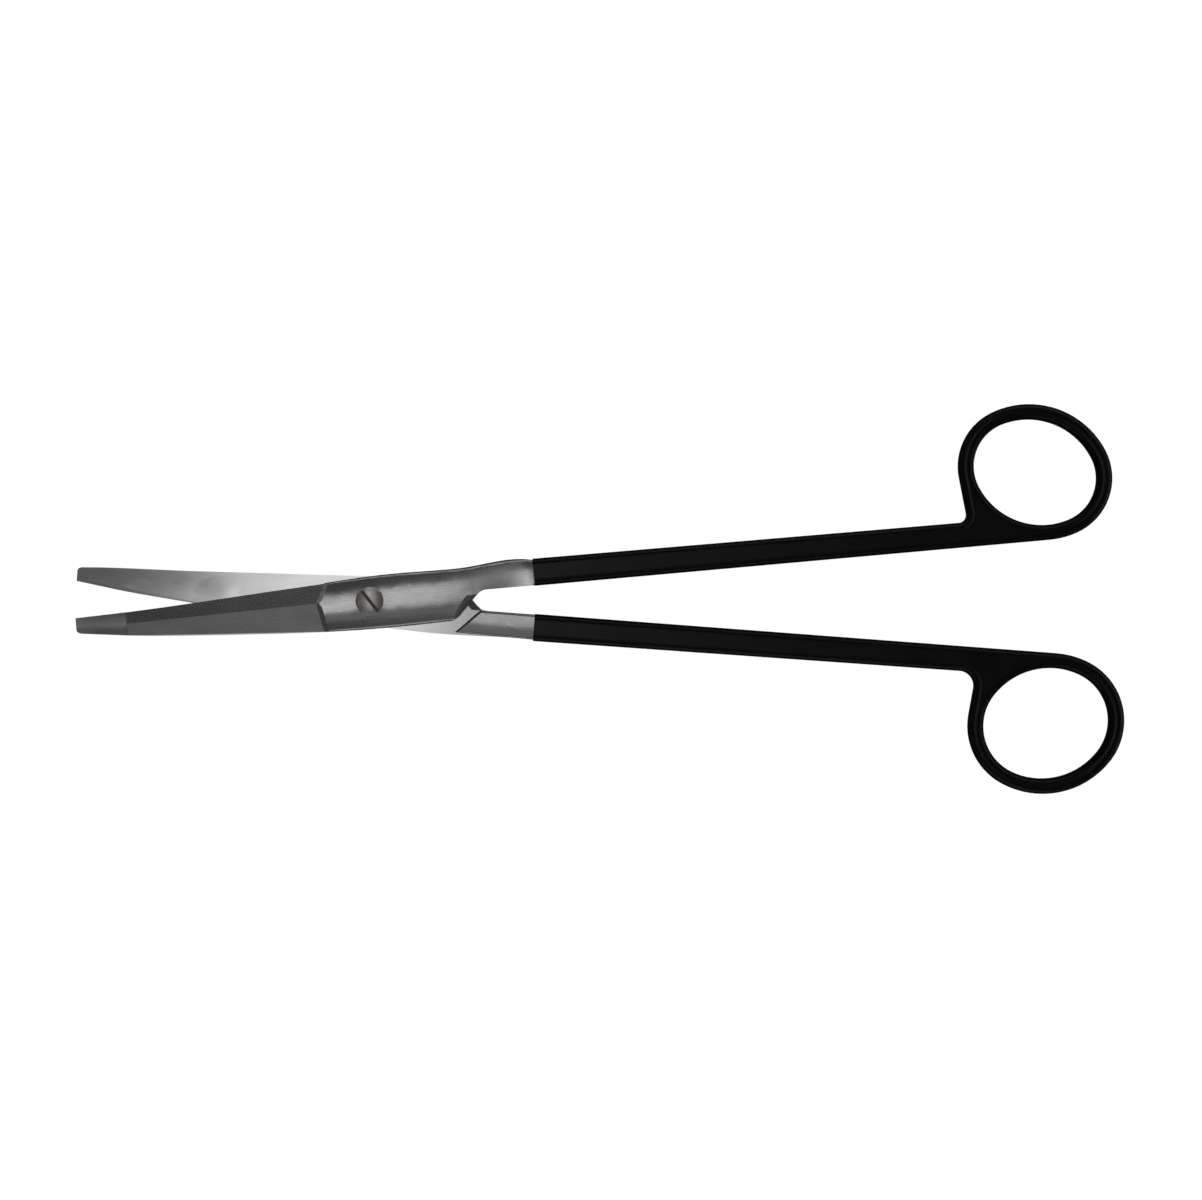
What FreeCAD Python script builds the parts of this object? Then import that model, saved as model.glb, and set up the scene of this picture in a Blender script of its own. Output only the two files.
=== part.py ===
import FreeCAD, Part
import math
import os
import Sketcher

os.makedirs("parts", exist_ok=True)

# Long surgical scissors: two steel halves crossed in a lap joint on one screw.
# Each half is drawn as it lies when the scissors are closed: +X runs from the pivot to the finger rings,
# +Y is the side of its own handle, and Z = 0 is the parting plane that its inner face lies on.
# Its outer face looks to +Z. The rear half is turned over, and both are then turned to the resting angle.

# Lengths in millimetres, angles in degrees
sizes = {
    # The joint
    "parting_height": 3.0,
    "rest_angle": 4.7,
    "lap_clearance": 0.02,
    "shoulder_gap": 0.2,
    "shoulder_lean": 20.0,
    # Box end: a diagonal across the half at this distance from the pivot axis
    "box_end_reach": 16.85,
    "box_end_slant": 45.0,
    "box_corner_radius": 4.5,
    "box_end_bevel_low": 1.6,
    "box_end_bevel_high": 3.2,
    "box_end_bevel_run": 2.8,
    "crotch_radius": 3.0,
    "crotch_bevel_run": 2.1,
    "crotch_bevel_depth": 0.7,
    # Shank, side by side with its twin along the centre line
    "centre_gap": 0.27,
    "shank_width": 5.8,
    "shank_taper": 0.3,
    "handle_half_thickness": 2.2,
    # Bare part of the shank, its lower half: crowned, with the crown nearer to the centre line
    "bare_shank_start_x": 16.0,
    "bare_shank_start_edge": 5.3,
    "bare_shank_end_edge": 5.72,
    "bare_shank_crown_radius": 13.0,
    "bare_shank_crown_y": 1.7,
    "bare_shank_corner": 0.6,
    "bare_shank_overlap": 0.5,
    # Coated bow: chamfered under the coating, which is rounded outside
    "bow_chamfer": 1.2,
    "coat_rounding": 1.6,
    # Finger rings
    "ring_band": 3.0,
    "neck_lean": 6.0,
    "front_ring_x": 146.1,
    "front_ring_width": 11.37,
    "front_ring_stretch": 2.37,
    "front_ring_roundness": 0.866,
    "front_ring_tilt": 24.5,
    "front_neck_radius": 1.9,
    "rear_ring_x": 148.1,
    "rear_ring_width": 12.05,
    "rear_ring_stretch": 1.8,
    "rear_ring_roundness": 0.92,
    "rear_ring_tilt": 17.5,
    "rear_neck_radius": 3.4,
    # Black coating over shank and ring
    "coat_thickness": 0.15,
    "coat_start_x": 35.8,
    # Blade grinds
    "edge_thickness": 0.15,
    "bevel_start_ridge_y": -0.2,
    "bevel_start_ridge_z": 1.62,
    "bevel_start_spine_z": 0.95,
    "ridge_end_x": -11.6,
    "ridge_end_y": 0.45,
    "ridge_end_z": 2.55,
    "spine_end_z": 1.05,
    "upper_shoulder_slant": 24.0,
    "lower_shoulder_slant": 10.0,
    "cutter_margin": 1.5,
    "cutter_height": 4.5,
    "tip_corner_radius": 0.8,
    "shoulder_run": 1.1,
    "shoulder_rise": 0.62,
    "hollow_depth": 0.12,
    "hollow_spine_land": 0.7,
    "hollow_edge_land": 0.4,
    "hollow_start_x": -62.0,
    "hollow_end_x": -14.0,
    # Pivot screw and its seats
    "screw_head_diameter": 5.85,
    "screw_head_rim": 0.75,
    "screw_head_dome": 0.3,
    "screw_shank_diameter": 3.5,
    "screw_thread_diameter": 3.0,
    "screw_slot_width": 0.7,
    "screw_slot_depth": 0.6,
    "screw_slot_angle": 52.0,
    "seat_depth_z": 1.75,
    "seat_clearance": 0.1,
    "bore_clearance": 0.05,
    "thread_clearance": 0.02,
    "head_lift": 0.03,
}

# Cross-sections of blade, box and shank root: distance along the half, spine side, edge side, height of the
# crown, radius of the crown as a multiple of half the width, crown's offset from the middle, corner radius.
# The last one stands where the coating starts.
sections = {
    "tip": (-64.0, -1.4, 1.98, 1.1, 5.0, 0.0, 0.15),
    "tip_middle": (-58.5, -2.08, 2.12, 1.42, 4.5, 0.0, 0.2),
    "bevel_start": (-53.0, -2.78, 2.28, 1.75, 4.0, 0.0, 0.25),
    "fore_blade": (-42.0, -3.8, 2.78, 2.1, 3.0, 0.0, 0.4),
    "mid_blade": (-31.0, -4.6, 3.42, 2.4, 2.2, 0.0, 0.6),
    "box_front": (-11.7, -5.77, 4.62, 2.95, 2.0, 0.0, 0.8),
    "pivot": (0.0, -6.1, 5.35, 3.0, 2.2, 0.0, 0.9),
    "box_middle": (12.0, -6.0, 5.42, 3.0, 2.4, 0.0, 0.95),
    "box_rear": (21.0, -5.75, 5.42, 2.85, 2.6, 0.0, 1.1),
    "shank_root": ("coat_start_x", 0.24, 5.75, 2.24, 3.3, -1.6, 0.6),
}
section_fields = ("along", "spine", "edge", "crown", "crown_ratio", "crown_offset", "corner")
for section, values in sections.items():
    for field, value in zip(section_fields, values):
        if not isinstance(value, str):
            sizes[f"{section}_{field}"] = value

# The rear blade is ground to a slightly different outline
rear_sections = {
    "rear_tip_spine": -2.55,
    "rear_tip_edge": 0.45,
    "rear_tip_middle_spine": -2.92,
    "rear_tip_middle_edge": 1.22,
    "rear_bevel_start_spine": -3.15,
    "rear_bevel_start_edge": 1.93,
    "rear_fore_blade_spine": -3.48,
    "rear_fore_blade_edge": 3.0,
    "rear_mid_blade_spine": -3.95,
    "rear_mid_blade_edge": 3.95,
    "rear_box_front_spine": -4.85,
    "rear_box_front_edge": 4.75,
    "rear_pivot_spine": -5.4,
    "rear_box_middle_edge": 5.9,
    "rear_box_rear_edge": 5.9,
}
sizes.update(rear_sections)

# Two heights nearer than this count as the same
same_height = 0.01

document = FreeCAD.newDocument("scissors")
sheet = document.addObject("Spreadsheet::Sheet", "dims")
for row, (name, value) in enumerate(sizes.items(), start=1):
    sheet.set(f"A{row}", name)
    sheet.set(f"B{row}", str(value))
    sheet.setAlias(f"B{row}", name)
document.recompute()


def own(side, name):
    # The half's own value where it has one, otherwise the one that both halves share
    return f"{side}_{name}" if f"{side}_{name}" in sizes else name


def rad(angle):
    return math.radians(angle)


def point(x, y):
    return FreeCAD.Vector(x, y, 0)


def line(start, end):
    return Part.LineSegment(start, end)


def arc(centre, radius, start_angle, end_angle):
    circle = Part.Circle(centre, FreeCAD.Vector(0, 0, 1), radius)
    return Part.ArcOfCircle(circle, rad(start_angle), rad(end_angle))


def new_body(label):
    body = document.addObject("PartDesign::Body", label)
    body.Label = label
    return body


def new_sketch(body, name, plane):
    sketch = body.newObject("Sketcher::SketchObject", name)
    origin_plane = [feature for feature in body.Origin.OriginFeatures if feature.Role == plane][0]
    sketch.AttachmentSupport = [(origin_plane, "")]
    sketch.MapMode = "FlatFace"
    return sketch


def bind(sketch, constraint, expression):
    # A driving dimension of a sketch that follows the sheet
    index = sketch.addConstraint(constraint)
    sketch.setExpression(f"Constraints[{index}]", expression)


def hold(sketch, kind, *references):
    sketch.addConstraint(Sketcher.Constraint(kind, *references))


def place_point(sketch, geometry, end, x, y, x_expression, y_expression):
    bind(sketch, Sketcher.Constraint("DistanceX", -1, 1, geometry, end, x), x_expression)
    bind(sketch, Sketcher.Constraint("DistanceY", -1, 1, geometry, end, y), y_expression)


def polygon(sketch, corners):
    # Straight outline; each corner gives its x and y with the expressions that drive them
    points = [point(corner[0], corner[1]) for corner in corners]
    count = len(points)
    first = len(sketch.Geometry)
    for index in range(count):
        sketch.addGeometry(line(points[index], points[(index + 1) % count]), False)
    for index in range(count):
        hold(sketch, "Coincident", first + index, 2, first + (index + 1) % count, 1)
    for index, (x, y, x_expression, y_expression) in enumerate(corners):
        place_point(sketch, first + index, 1, x, y, x_expression, y_expression)


def pad(body, name, sketch, length_expression):
    feature = body.newObject("PartDesign::Pad", name)
    feature.Profile = sketch
    feature.setExpression("Length", length_expression)
    feature.SideType = "Symmetric"
    return feature


def pocket_through(body, name, sketch, reverse=False, both=False):
    before = body.Shape.Volume
    feature = body.newObject("PartDesign::Pocket", name)
    feature.Profile = sketch
    feature.Type = "ThroughAll"
    feature.Reversed = reverse
    if both:
        feature.SideType = "Symmetric"
    document.recompute()
    if feature.Shape.Volume >= before:
        raise RuntimeError(f"{name} cuts nothing")
    return feature


def loft(body, name, kind, sketches, ruled=False):
    feature = body.newObject(f"PartDesign::{kind}Loft", name)
    feature.Profile = sketches[0]
    feature.Sections = sketches[1:]
    feature.Ruled = ruled
    document.recompute()
    return feature


def handle(body, side, coat=False):
    # Coated part of the shank and the finger ring as one flat bow. The ring's outside and its opening are drawn
    # with four arcs each, and the shank's inner edge runs straight into the ring's outside.
    # The steel bow is chamfered. The coating is the same bow, grown all round by the coat and rounded.
    coat_size = sizes["coat_thickness"] if coat else 0.0
    coat_term = "dims.coat_thickness" if coat else "0"
    width = sizes[f"{side}_ring_width"]
    stretch = sizes[f"{side}_ring_stretch"]
    end_radius = sizes[f"{side}_ring_roundness"] * width
    side_offset = stretch + stretch ** 2 / (2 * (width - end_radius))
    end_offset = width + stretch - end_radius
    band = sizes["ring_band"] + coat_size
    end_outer = end_radius + band
    side_outer = width + side_offset + band
    tilt = -sizes[f"{side}_ring_tilt"]
    along = FreeCAD.Vector(math.cos(rad(tilt)), math.sin(rad(tilt)), 0)
    across = FreeCAD.Vector(-math.sin(rad(tilt)), math.cos(rad(tilt)), 0)
    inner_y = sizes["centre_gap"] - coat_size
    start_x = sizes["coat_start_x"]
    neck_radius = sizes[f"{side}_neck_radius"] - coat_size
    taper = sizes["shank_taper"]
    neck_angle = 180 + sizes["neck_lean"]

    lower_centre = point(sizes[f"{side}_ring_x"], 0) + across * side_offset
    lower_centre.y = inner_y + side_outer
    centre = lower_centre - across * side_offset
    far_centre = centre + along * end_offset
    upper_centre = centre - across * side_offset
    near_centre = centre - along * end_offset
    spread = math.degrees(math.atan2(side_offset, end_offset))

    outward = FreeCAD.Vector(math.cos(rad(neck_angle)), math.sin(rad(neck_angle)), 0)
    downward = FreeCAD.Vector(-outward.y, outward.x, 0)
    neck_top = near_centre + outward * end_outer
    outer_y = sizes["centre_gap"] + sizes["shank_width"] + coat_size / math.cos(rad(taper))
    slope = math.tan(rad(taper))
    rise = neck_top + outward * neck_radius
    target = outer_y + neck_radius / math.cos(rad(taper))
    travel = (target - rise.y - rise.x * slope) / (downward.y + downward.x * slope)
    fillet_centre = rise + downward * travel
    neck_foot = fillet_centre - outward * neck_radius
    shank_end = fillet_centre - FreeCAD.Vector(math.sin(rad(taper)), math.cos(rad(taper)), 0) * neck_radius
    start_top = point(start_x, outer_y - start_x * slope)
    start_low = point(start_x, inner_y)

    sketch = new_sketch(body, f"{body.Label}_plan", "XY_Plane")
    sketch.addGeometry(line(start_low, point(lower_centre.x, inner_y)), False)
    sketch.addGeometry(arc(lower_centre, side_outer, 270, 360 + tilt - spread), False)
    sketch.addGeometry(arc(far_centre, end_outer, tilt - spread, tilt + spread), False)
    sketch.addGeometry(arc(upper_centre, side_outer, tilt + spread, tilt + 180 - spread), False)
    sketch.addGeometry(arc(near_centre, end_outer, tilt + 180 - spread, neck_angle), False)
    sketch.addGeometry(line(neck_top, neck_foot), False)
    sketch.addGeometry(arc(fillet_centre, neck_radius, 270 - taper, 180 + neck_angle), False)
    sketch.addGeometry(line(shank_end, start_top), False)
    sketch.addGeometry(line(start_top, start_low), False)
    inner_edge, lower_arc, far_arc, upper_arc, near_arc, neck, fillet, outer_edge, start = range(9)

    hold(sketch, "Tangent", inner_edge, 2, lower_arc, 1)
    hold(sketch, "Tangent", lower_arc, 2, far_arc, 1)
    hold(sketch, "Tangent", far_arc, 2, upper_arc, 1)
    hold(sketch, "Tangent", upper_arc, 2, near_arc, 1)
    hold(sketch, "Tangent", near_arc, 2, neck, 1)
    hold(sketch, "Tangent", neck, 2, fillet, 2)
    hold(sketch, "Tangent", fillet, 1, outer_edge, 1)
    hold(sketch, "Coincident", outer_edge, 2, start, 1)
    hold(sketch, "Coincident", start, 2, inner_edge, 1)
    hold(sketch, "Horizontal", inner_edge)
    hold(sketch, "Vertical", start)

    ring = f"dims.{side}_ring"
    end_term = f"{ring}_roundness * {ring}_width"
    offset_term = f"({ring}_stretch + {ring}_stretch ^ 2 / (2 * ({ring}_width - {end_term})))"
    reach_term = f"({ring}_width + {ring}_stretch - {end_term})"
    cosine = f"cos({ring}_tilt)"
    sine = f"sin({ring}_tilt)"
    band_term = f"dims.ring_band + {coat_term}"
    start_term = "dims.coat_start_x"
    inner_term = f"dims.centre_gap - {coat_term}"
    outer_term = f"dims.centre_gap + dims.shank_width + {coat_term} / cos(dims.shank_taper)"
    place_point(sketch, start, 2, start_x, inner_y, start_term, inner_term)
    bind(sketch, Sketcher.Constraint("DistanceY", -1, 1, start, 1, start_top.y),
         f"{outer_term} - {start_term} * tan(dims.shank_taper)")
    bind(sketch, Sketcher.Constraint("Angle", outer_edge, rad(180 - taper)), "180 - dims.shank_taper")
    bind(sketch, Sketcher.Constraint("Angle", neck, rad(neck_angle + 90 - 360)), "dims.neck_lean - 90")
    for index in (far_arc, near_arc):
        bind(sketch, Sketcher.Constraint("Radius", index, end_outer), f"{end_term} + {band_term}")
    for index in (lower_arc, upper_arc):
        bind(sketch, Sketcher.Constraint("Radius", index, side_outer),
             f"{ring}_width + {offset_term} + {band_term}")
    bind(sketch, Sketcher.Constraint("Radius", fillet, neck_radius), f"dims.{side}_neck_radius - {coat_term}")
    centre_of = 3
    bind(sketch, Sketcher.Constraint("DistanceX", -1, 1, lower_arc, centre_of, lower_centre.x),
         f"{ring}_x + {offset_term} * {sine}")
    bind(sketch, Sketcher.Constraint("DistanceX", lower_arc, centre_of, far_arc, centre_of,
                                     far_centre.x - lower_centre.x),
         f"{reach_term} * {cosine} - {offset_term} * {sine}")
    bind(sketch, Sketcher.Constraint("DistanceY", far_arc, centre_of, upper_arc, centre_of,
                                     upper_centre.y - far_centre.y),
         f"{reach_term} * {sine} - {offset_term} * {cosine}")
    bind(sketch, Sketcher.Constraint("DistanceX", upper_arc, centre_of, near_arc, centre_of,
                                     near_centre.x - upper_centre.x),
         f"{offset_term} * {sine} - {reach_term} * {cosine}")

    pad(body, f"{body.Label}_bow", sketch, f"2 * (dims.handle_half_thickness + {coat_term})")
    document.recompute()

    # Finger opening: the same oval inside the band, drawn about its own two axes
    end_inner = end_radius - coat_size
    side_inner = width + side_offset - coat_size
    hole = new_sketch(body, f"{body.Label}_opening_plan", "XY_Plane")
    hole.AttachmentOffset = FreeCAD.Placement(centre, FreeCAD.Rotation(FreeCAD.Vector(0, 0, 1), tilt))
    hole.setExpression(".AttachmentOffset.Base.x", f"{ring}_x")
    hole.setExpression(".AttachmentOffset.Base.y",
                       f"{inner_term} + {ring}_width + {offset_term} + {band_term} - {offset_term} * {cosine}")
    hole.setExpression(".AttachmentOffset.Rotation.Angle", f"-{ring}_tilt")
    hole.addGeometry(arc(point(end_offset, 0), end_inner, -spread, spread), False)
    hole.addGeometry(arc(point(0, -side_offset), side_inner, spread, 180 - spread), False)
    hole.addGeometry(arc(point(-end_offset, 0), end_inner, 180 - spread, 180 + spread), False)
    hole.addGeometry(arc(point(0, side_offset), side_inner, 180 + spread, 360 - spread), False)
    far, upper, near, lower = range(4)
    hold(hole, "Tangent", far, 2, upper, 1)
    hold(hole, "Coincident", upper, 2, near, 1)
    hold(hole, "Coincident", near, 2, lower, 1)
    hold(hole, "Coincident", lower, 2, far, 1)
    hold(hole, "Symmetric", upper, 1, upper, 2, -2)
    hold(hole, "Symmetric", far, 1, far, 2, -1)
    hold(hole, "Symmetric", near, 1, near, 2, -1)
    hold(hole, "Equal", far, near)
    hold(hole, "Equal", upper, lower)
    bind(hole, Sketcher.Constraint("Radius", far, end_inner), f"{end_term} - {coat_term}")
    bind(hole, Sketcher.Constraint("DistanceX", -1, 1, far, centre_of, end_offset), reach_term)
    bind(hole, Sketcher.Constraint("DistanceY", -1, 1, upper, centre_of, -side_offset), f"-{offset_term}")
    document.recompute()
    bow = pocket_through(body, f"{body.Label}_opening", hole, both=True)

    rim = [f"Edge{number}" for number, edge in enumerate(bow.Shape.Edges, start=1)
           if edge.BoundBox.ZLength < same_height and edge.BoundBox.XMax > start_x + same_height]
    kind, dimension, expression = ("Fillet", "Radius", "dims.coat_rounding") if coat else (
        "Chamfer", "Size", "dims.bow_chamfer")
    rim_feature = body.newObject(f"PartDesign::{kind}", f"{body.Label}_rim")
    rim_feature.Base = (bow, rim)
    rim_feature.setExpression(dimension, expression)
    document.recompute()


def bare_shank(body):
    # Lower half of the uncoated shank: it widens a little from the box to the coating, and reaches up into the
    # box's own sections, which make the upper half
    ends = [shank_section(body, "start", "bare_shank_start_x", "bare_shank_start_edge"),
            shank_section(body, "end", "coat_start_x", "bare_shank_end_edge")]
    loft(body, f"{body.Label}_bare_shank", "Additive", ends, ruled=True)


def shank_section(body, name, along, edge):
    low, high = sizes["centre_gap"], sizes[edge]
    top, radius = sizes["bare_shank_overlap"], sizes["bare_shank_crown_radius"]
    crown_y, corner = sizes["bare_shank_crown_y"], sizes["bare_shank_corner"]
    crown_z = radius - sizes["handle_half_thickness"]
    inner_y, outer_y = low + corner, high - corner
    inner_z = crown_z - math.sqrt((radius - corner) ** 2 - (inner_y - crown_y) ** 2)
    outer_z = crown_z - math.sqrt((radius - corner) ** 2 - (outer_y - crown_y) ** 2)
    inner_lean = 180 + math.degrees(math.atan2(crown_z - inner_z, crown_y - inner_y))
    outer_lean = 360 - math.degrees(math.atan2(crown_z - outer_z, outer_y - crown_y))
    sketch = new_sketch(body, f"{body.Label}_bare_shank_{name}", "YZ_Plane")
    sketch.AttachmentOffset = FreeCAD.Placement(FreeCAD.Vector(0, 0, sizes[along]), FreeCAD.Rotation())
    sketch.setExpression(".AttachmentOffset.Base.z", f"dims.{along}")
    sketch.addGeometry(line(point(high, top), point(low, top)), False)
    sketch.addGeometry(line(point(low, top), point(low, inner_z)), False)
    sketch.addGeometry(arc(point(inner_y, inner_z), corner, 180, inner_lean), False)
    sketch.addGeometry(arc(point(crown_y, crown_z), radius, inner_lean, outer_lean), False)
    sketch.addGeometry(arc(point(outer_y, outer_z), corner, outer_lean, 360), False)
    sketch.addGeometry(line(point(high, outer_z), point(high, top)), False)
    lid, inner_wall, inner_corner, crown, outer_corner, outer_wall = range(6)
    hold(sketch, "Coincident", lid, 2, inner_wall, 1)
    hold(sketch, "Tangent", inner_wall, 2, inner_corner, 1)
    hold(sketch, "Tangent", inner_corner, 2, crown, 1)
    hold(sketch, "Tangent", crown, 2, outer_corner, 1)
    hold(sketch, "Tangent", outer_corner, 2, outer_wall, 1)
    hold(sketch, "Coincident", outer_wall, 2, lid, 1)
    hold(sketch, "Horizontal", lid)
    hold(sketch, "Vertical", inner_wall)
    hold(sketch, "Vertical", outer_wall)
    centre_of = 3
    place_point(sketch, lid, 1, high, top, f"dims.{edge}", "dims.bare_shank_overlap")
    bind(sketch, Sketcher.Constraint("DistanceX", -1, 1, lid, 2, low), "dims.centre_gap")
    for index in (inner_corner, outer_corner):
        bind(sketch, Sketcher.Constraint("Radius", index, corner), "dims.bare_shank_corner")
    bind(sketch, Sketcher.Constraint("Radius", crown, radius), "dims.bare_shank_crown_radius")
    place_point(sketch, crown, centre_of, crown_y, crown_z,
                "dims.bare_shank_crown_y", "dims.bare_shank_crown_radius - dims.handle_half_thickness")
    return sketch


def section_sketch(body, side, name):
    # One D-shaped cross-section: flat inner face, short walls, rounded corners and a crowned outer face
    def term(field):
        value = sections[name][section_fields.index(field)]
        return value if isinstance(value, str) else own(side, f"{name}_{field}")

    along = term("along")
    low, high = sizes[term("spine")], sizes[term("edge")]
    crown, corner = sizes[term("crown")], sizes[term("corner")]
    floor = sizes["lap_clearance"]
    crown_radius = sizes[term("crown_ratio")] * (high - low) / 2
    crown_y = (high + low) / 2 + sizes[term("crown_offset")]
    crown_z = crown - crown_radius
    # Each corner arc touches its wall and lies inside the crown's circle
    spine_y, edge_y = low + corner, high - corner
    spine_z = crown_z + math.sqrt((crown_radius - corner) ** 2 - (spine_y - crown_y) ** 2)
    edge_z = crown_z + math.sqrt((crown_radius - corner) ** 2 - (edge_y - crown_y) ** 2)
    spine_lean = math.degrees(math.atan2(spine_z - crown_z, spine_y - crown_y))
    edge_lean = math.degrees(math.atan2(edge_z - crown_z, edge_y - crown_y))

    sketch = new_sketch(body, f"{body.Label}_{name}", "YZ_Plane")
    sketch.AttachmentOffset = FreeCAD.Placement(FreeCAD.Vector(0, 0, sizes[along]), FreeCAD.Rotation())
    sketch.setExpression(".AttachmentOffset.Base.z", f"dims.{along}")
    sketch.addGeometry(line(point(low, floor), point(high, floor)), False)
    sketch.addGeometry(line(point(high, floor), point(high, edge_z)), False)
    sketch.addGeometry(arc(point(edge_y, edge_z), corner, 0, edge_lean), False)
    sketch.addGeometry(arc(point(crown_y, crown_z), crown_radius, edge_lean, spine_lean), False)
    sketch.addGeometry(arc(point(spine_y, spine_z), corner, spine_lean, 180), False)
    sketch.addGeometry(line(point(low, spine_z), point(low, floor)), False)
    face, edge_wall, edge_corner, crown_arc, spine_corner, spine_wall = range(6)
    hold(sketch, "Coincident", face, 2, edge_wall, 1)
    hold(sketch, "Tangent", edge_wall, 2, edge_corner, 1)
    hold(sketch, "Tangent", edge_corner, 2, crown_arc, 1)
    hold(sketch, "Tangent", crown_arc, 2, spine_corner, 1)
    hold(sketch, "Tangent", spine_corner, 2, spine_wall, 1)
    hold(sketch, "Coincident", spine_wall, 2, face, 1)
    hold(sketch, "Horizontal", face)
    hold(sketch, "Vertical", edge_wall)
    hold(sketch, "Vertical", spine_wall)
    spine_term, edge_term = f"dims.{term('spine')}", f"dims.{term('edge')}"
    radius_term = f"dims.{term('crown_ratio')} * ({edge_term} - {spine_term}) / 2"
    place_point(sketch, face, 1, low, floor, spine_term, "dims.lap_clearance")
    bind(sketch, Sketcher.Constraint("DistanceX", -1, 1, face, 2, high), edge_term)
    bind(sketch, Sketcher.Constraint("Radius", crown_arc, crown_radius), radius_term)
    bind(sketch, Sketcher.Constraint("Radius", edge_corner, corner), f"dims.{term('corner')}")
    bind(sketch, Sketcher.Constraint("Radius", spine_corner, corner), f"dims.{term('corner')}")
    centre_of = 3
    place_point(sketch, crown_arc, centre_of, crown_y, crown_z,
                f"({edge_term} + {spine_term}) / 2 + dims.{term('crown_offset')}",
                f"dims.{term('crown')} - {radius_term}")
    return sketch


def cutter_sketch(body, name, along, along_term, y_term, turn_term, corners):
    # Cross-section of a grinding cut. It stands at a distance along the half, is turned about a vertical line,
    # and its corners are measured from that line.
    offset_y = sizes[y_term] if y_term else 0.0
    turn = turn_term[0] * sizes[turn_term[1]] if turn_term else 0.0
    sketch = new_sketch(body, f"{body.Label}_{name}", "YZ_Plane")
    # In the sketch's own frame: first axis along Y, second up, third along X
    sketch.AttachmentOffset = FreeCAD.Placement(
        FreeCAD.Vector(offset_y, 0, along), FreeCAD.Rotation(FreeCAD.Vector(0, 1, 0), turn))
    sketch.setExpression(".AttachmentOffset.Base.z", along_term)
    if y_term:
        sketch.setExpression(".AttachmentOffset.Base.x", f"dims.{y_term}")
    if turn_term:
        sketch.setExpression(".AttachmentOffset.Rotation.Angle", f"{turn_term[0]} * dims.{turn_term[1]}")
    polygon(sketch, corners)
    return sketch


def grind(body, side):
    # Outer face of the blade: two flats that meet in a ridge, from just behind the tip to the chevron shoulder
    margin, top = sizes["cutter_margin"], sizes["cutter_height"]
    edge_z = sizes["lap_clearance"] + sizes["edge_thickness"]
    top_term = "dims.cutter_height"
    edge_term = "dims.lap_clearance + dims.edge_thickness"

    def flat(name, section_side, start_z, start_z_term, end_z, end_z_term, slant_sign, slant):
        # section_side is "edge" or "spine"; out points away from the ridge
        out = 1 if section_side == "edge" else -1
        start_name = own(side, f"bevel_start_{section_side}")
        end_name = own(side, f"box_front_{section_side}")
        start_y, start_y_term = sizes[start_name], f"dims.{start_name}"
        ridge_y, ridge_z = sizes["bevel_start_ridge_y"], sizes["bevel_start_ridge_z"]
        start = cutter_sketch(body, f"{name}_start", sizes["bevel_start_along"], "dims.bevel_start_along",
                              None, None, [
            (ridge_y, ridge_z, "dims.bevel_start_ridge_y", "dims.bevel_start_ridge_z"),
            (start_y, start_z, start_y_term, start_z_term),
            (start_y + out * margin, start_z, f"{start_y_term} + {out} * dims.cutter_margin", start_z_term),
            (start_y + out * margin, top, f"{start_y_term} + {out} * dims.cutter_margin", top_term),
            (ridge_y, top, "dims.bevel_start_ridge_y", top_term),
        ])
        cosine = math.cos(rad(sizes[slant]))
        end_y = (sizes[end_name] - sizes["ridge_end_y"]) / cosine
        end_y_term = f"(dims.{end_name} - dims.ridge_end_y) / cos(dims.{slant})"
        turn = (slant_sign, slant)
        far_term = f"{end_y_term} + {out} * dims.cutter_margin"
        end = cutter_sketch(body, f"{name}_end", sizes["ridge_end_x"], "dims.ridge_end_x", "ridge_end_y", turn, [
            (0.0, sizes["ridge_end_z"], "0", "dims.ridge_end_z"),
            (end_y, end_z, end_y_term, end_z_term),
            (end_y + out * margin, end_z, far_term, end_z_term),
            (end_y + out * margin, top, far_term, top_term),
            (0.0, top, "0", top_term),
        ])
        # The shoulder leans back from the end of the flat
        rise = sizes["shoulder_rise"]
        back_x = sizes["ridge_end_x"] + sizes["shoulder_run"]
        back_x_term = "dims.ridge_end_x + dims.shoulder_run"
        back = cutter_sketch(body, f"{name}_shoulder", back_x, back_x_term, "ridge_end_y", turn, [
            (0.0, sizes["ridge_end_z"] + rise, "0", "dims.ridge_end_z + dims.shoulder_rise"),
            (end_y, end_z + rise, end_y_term, f"{end_z_term} + dims.shoulder_rise"),
            (end_y + out * margin, end_z + rise, far_term, f"{end_z_term} + dims.shoulder_rise"),
            (end_y + out * margin, top, far_term, top_term),
            (0.0, top, "0", top_term),
        ])
        loft(body, f"{body.Label}_{name}", "Subtractive", [start, end, back], ruled=True)

    flat("bevel", "edge", edge_z, edge_term, edge_z, edge_term, -1, "upper_shoulder_slant")
    flat("side_flat", "spine", sizes["bevel_start_spine_z"], "dims.bevel_start_spine_z",
         sizes["spine_end_z"], "dims.spine_end_z", 1, "lower_shoulder_slant")


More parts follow.
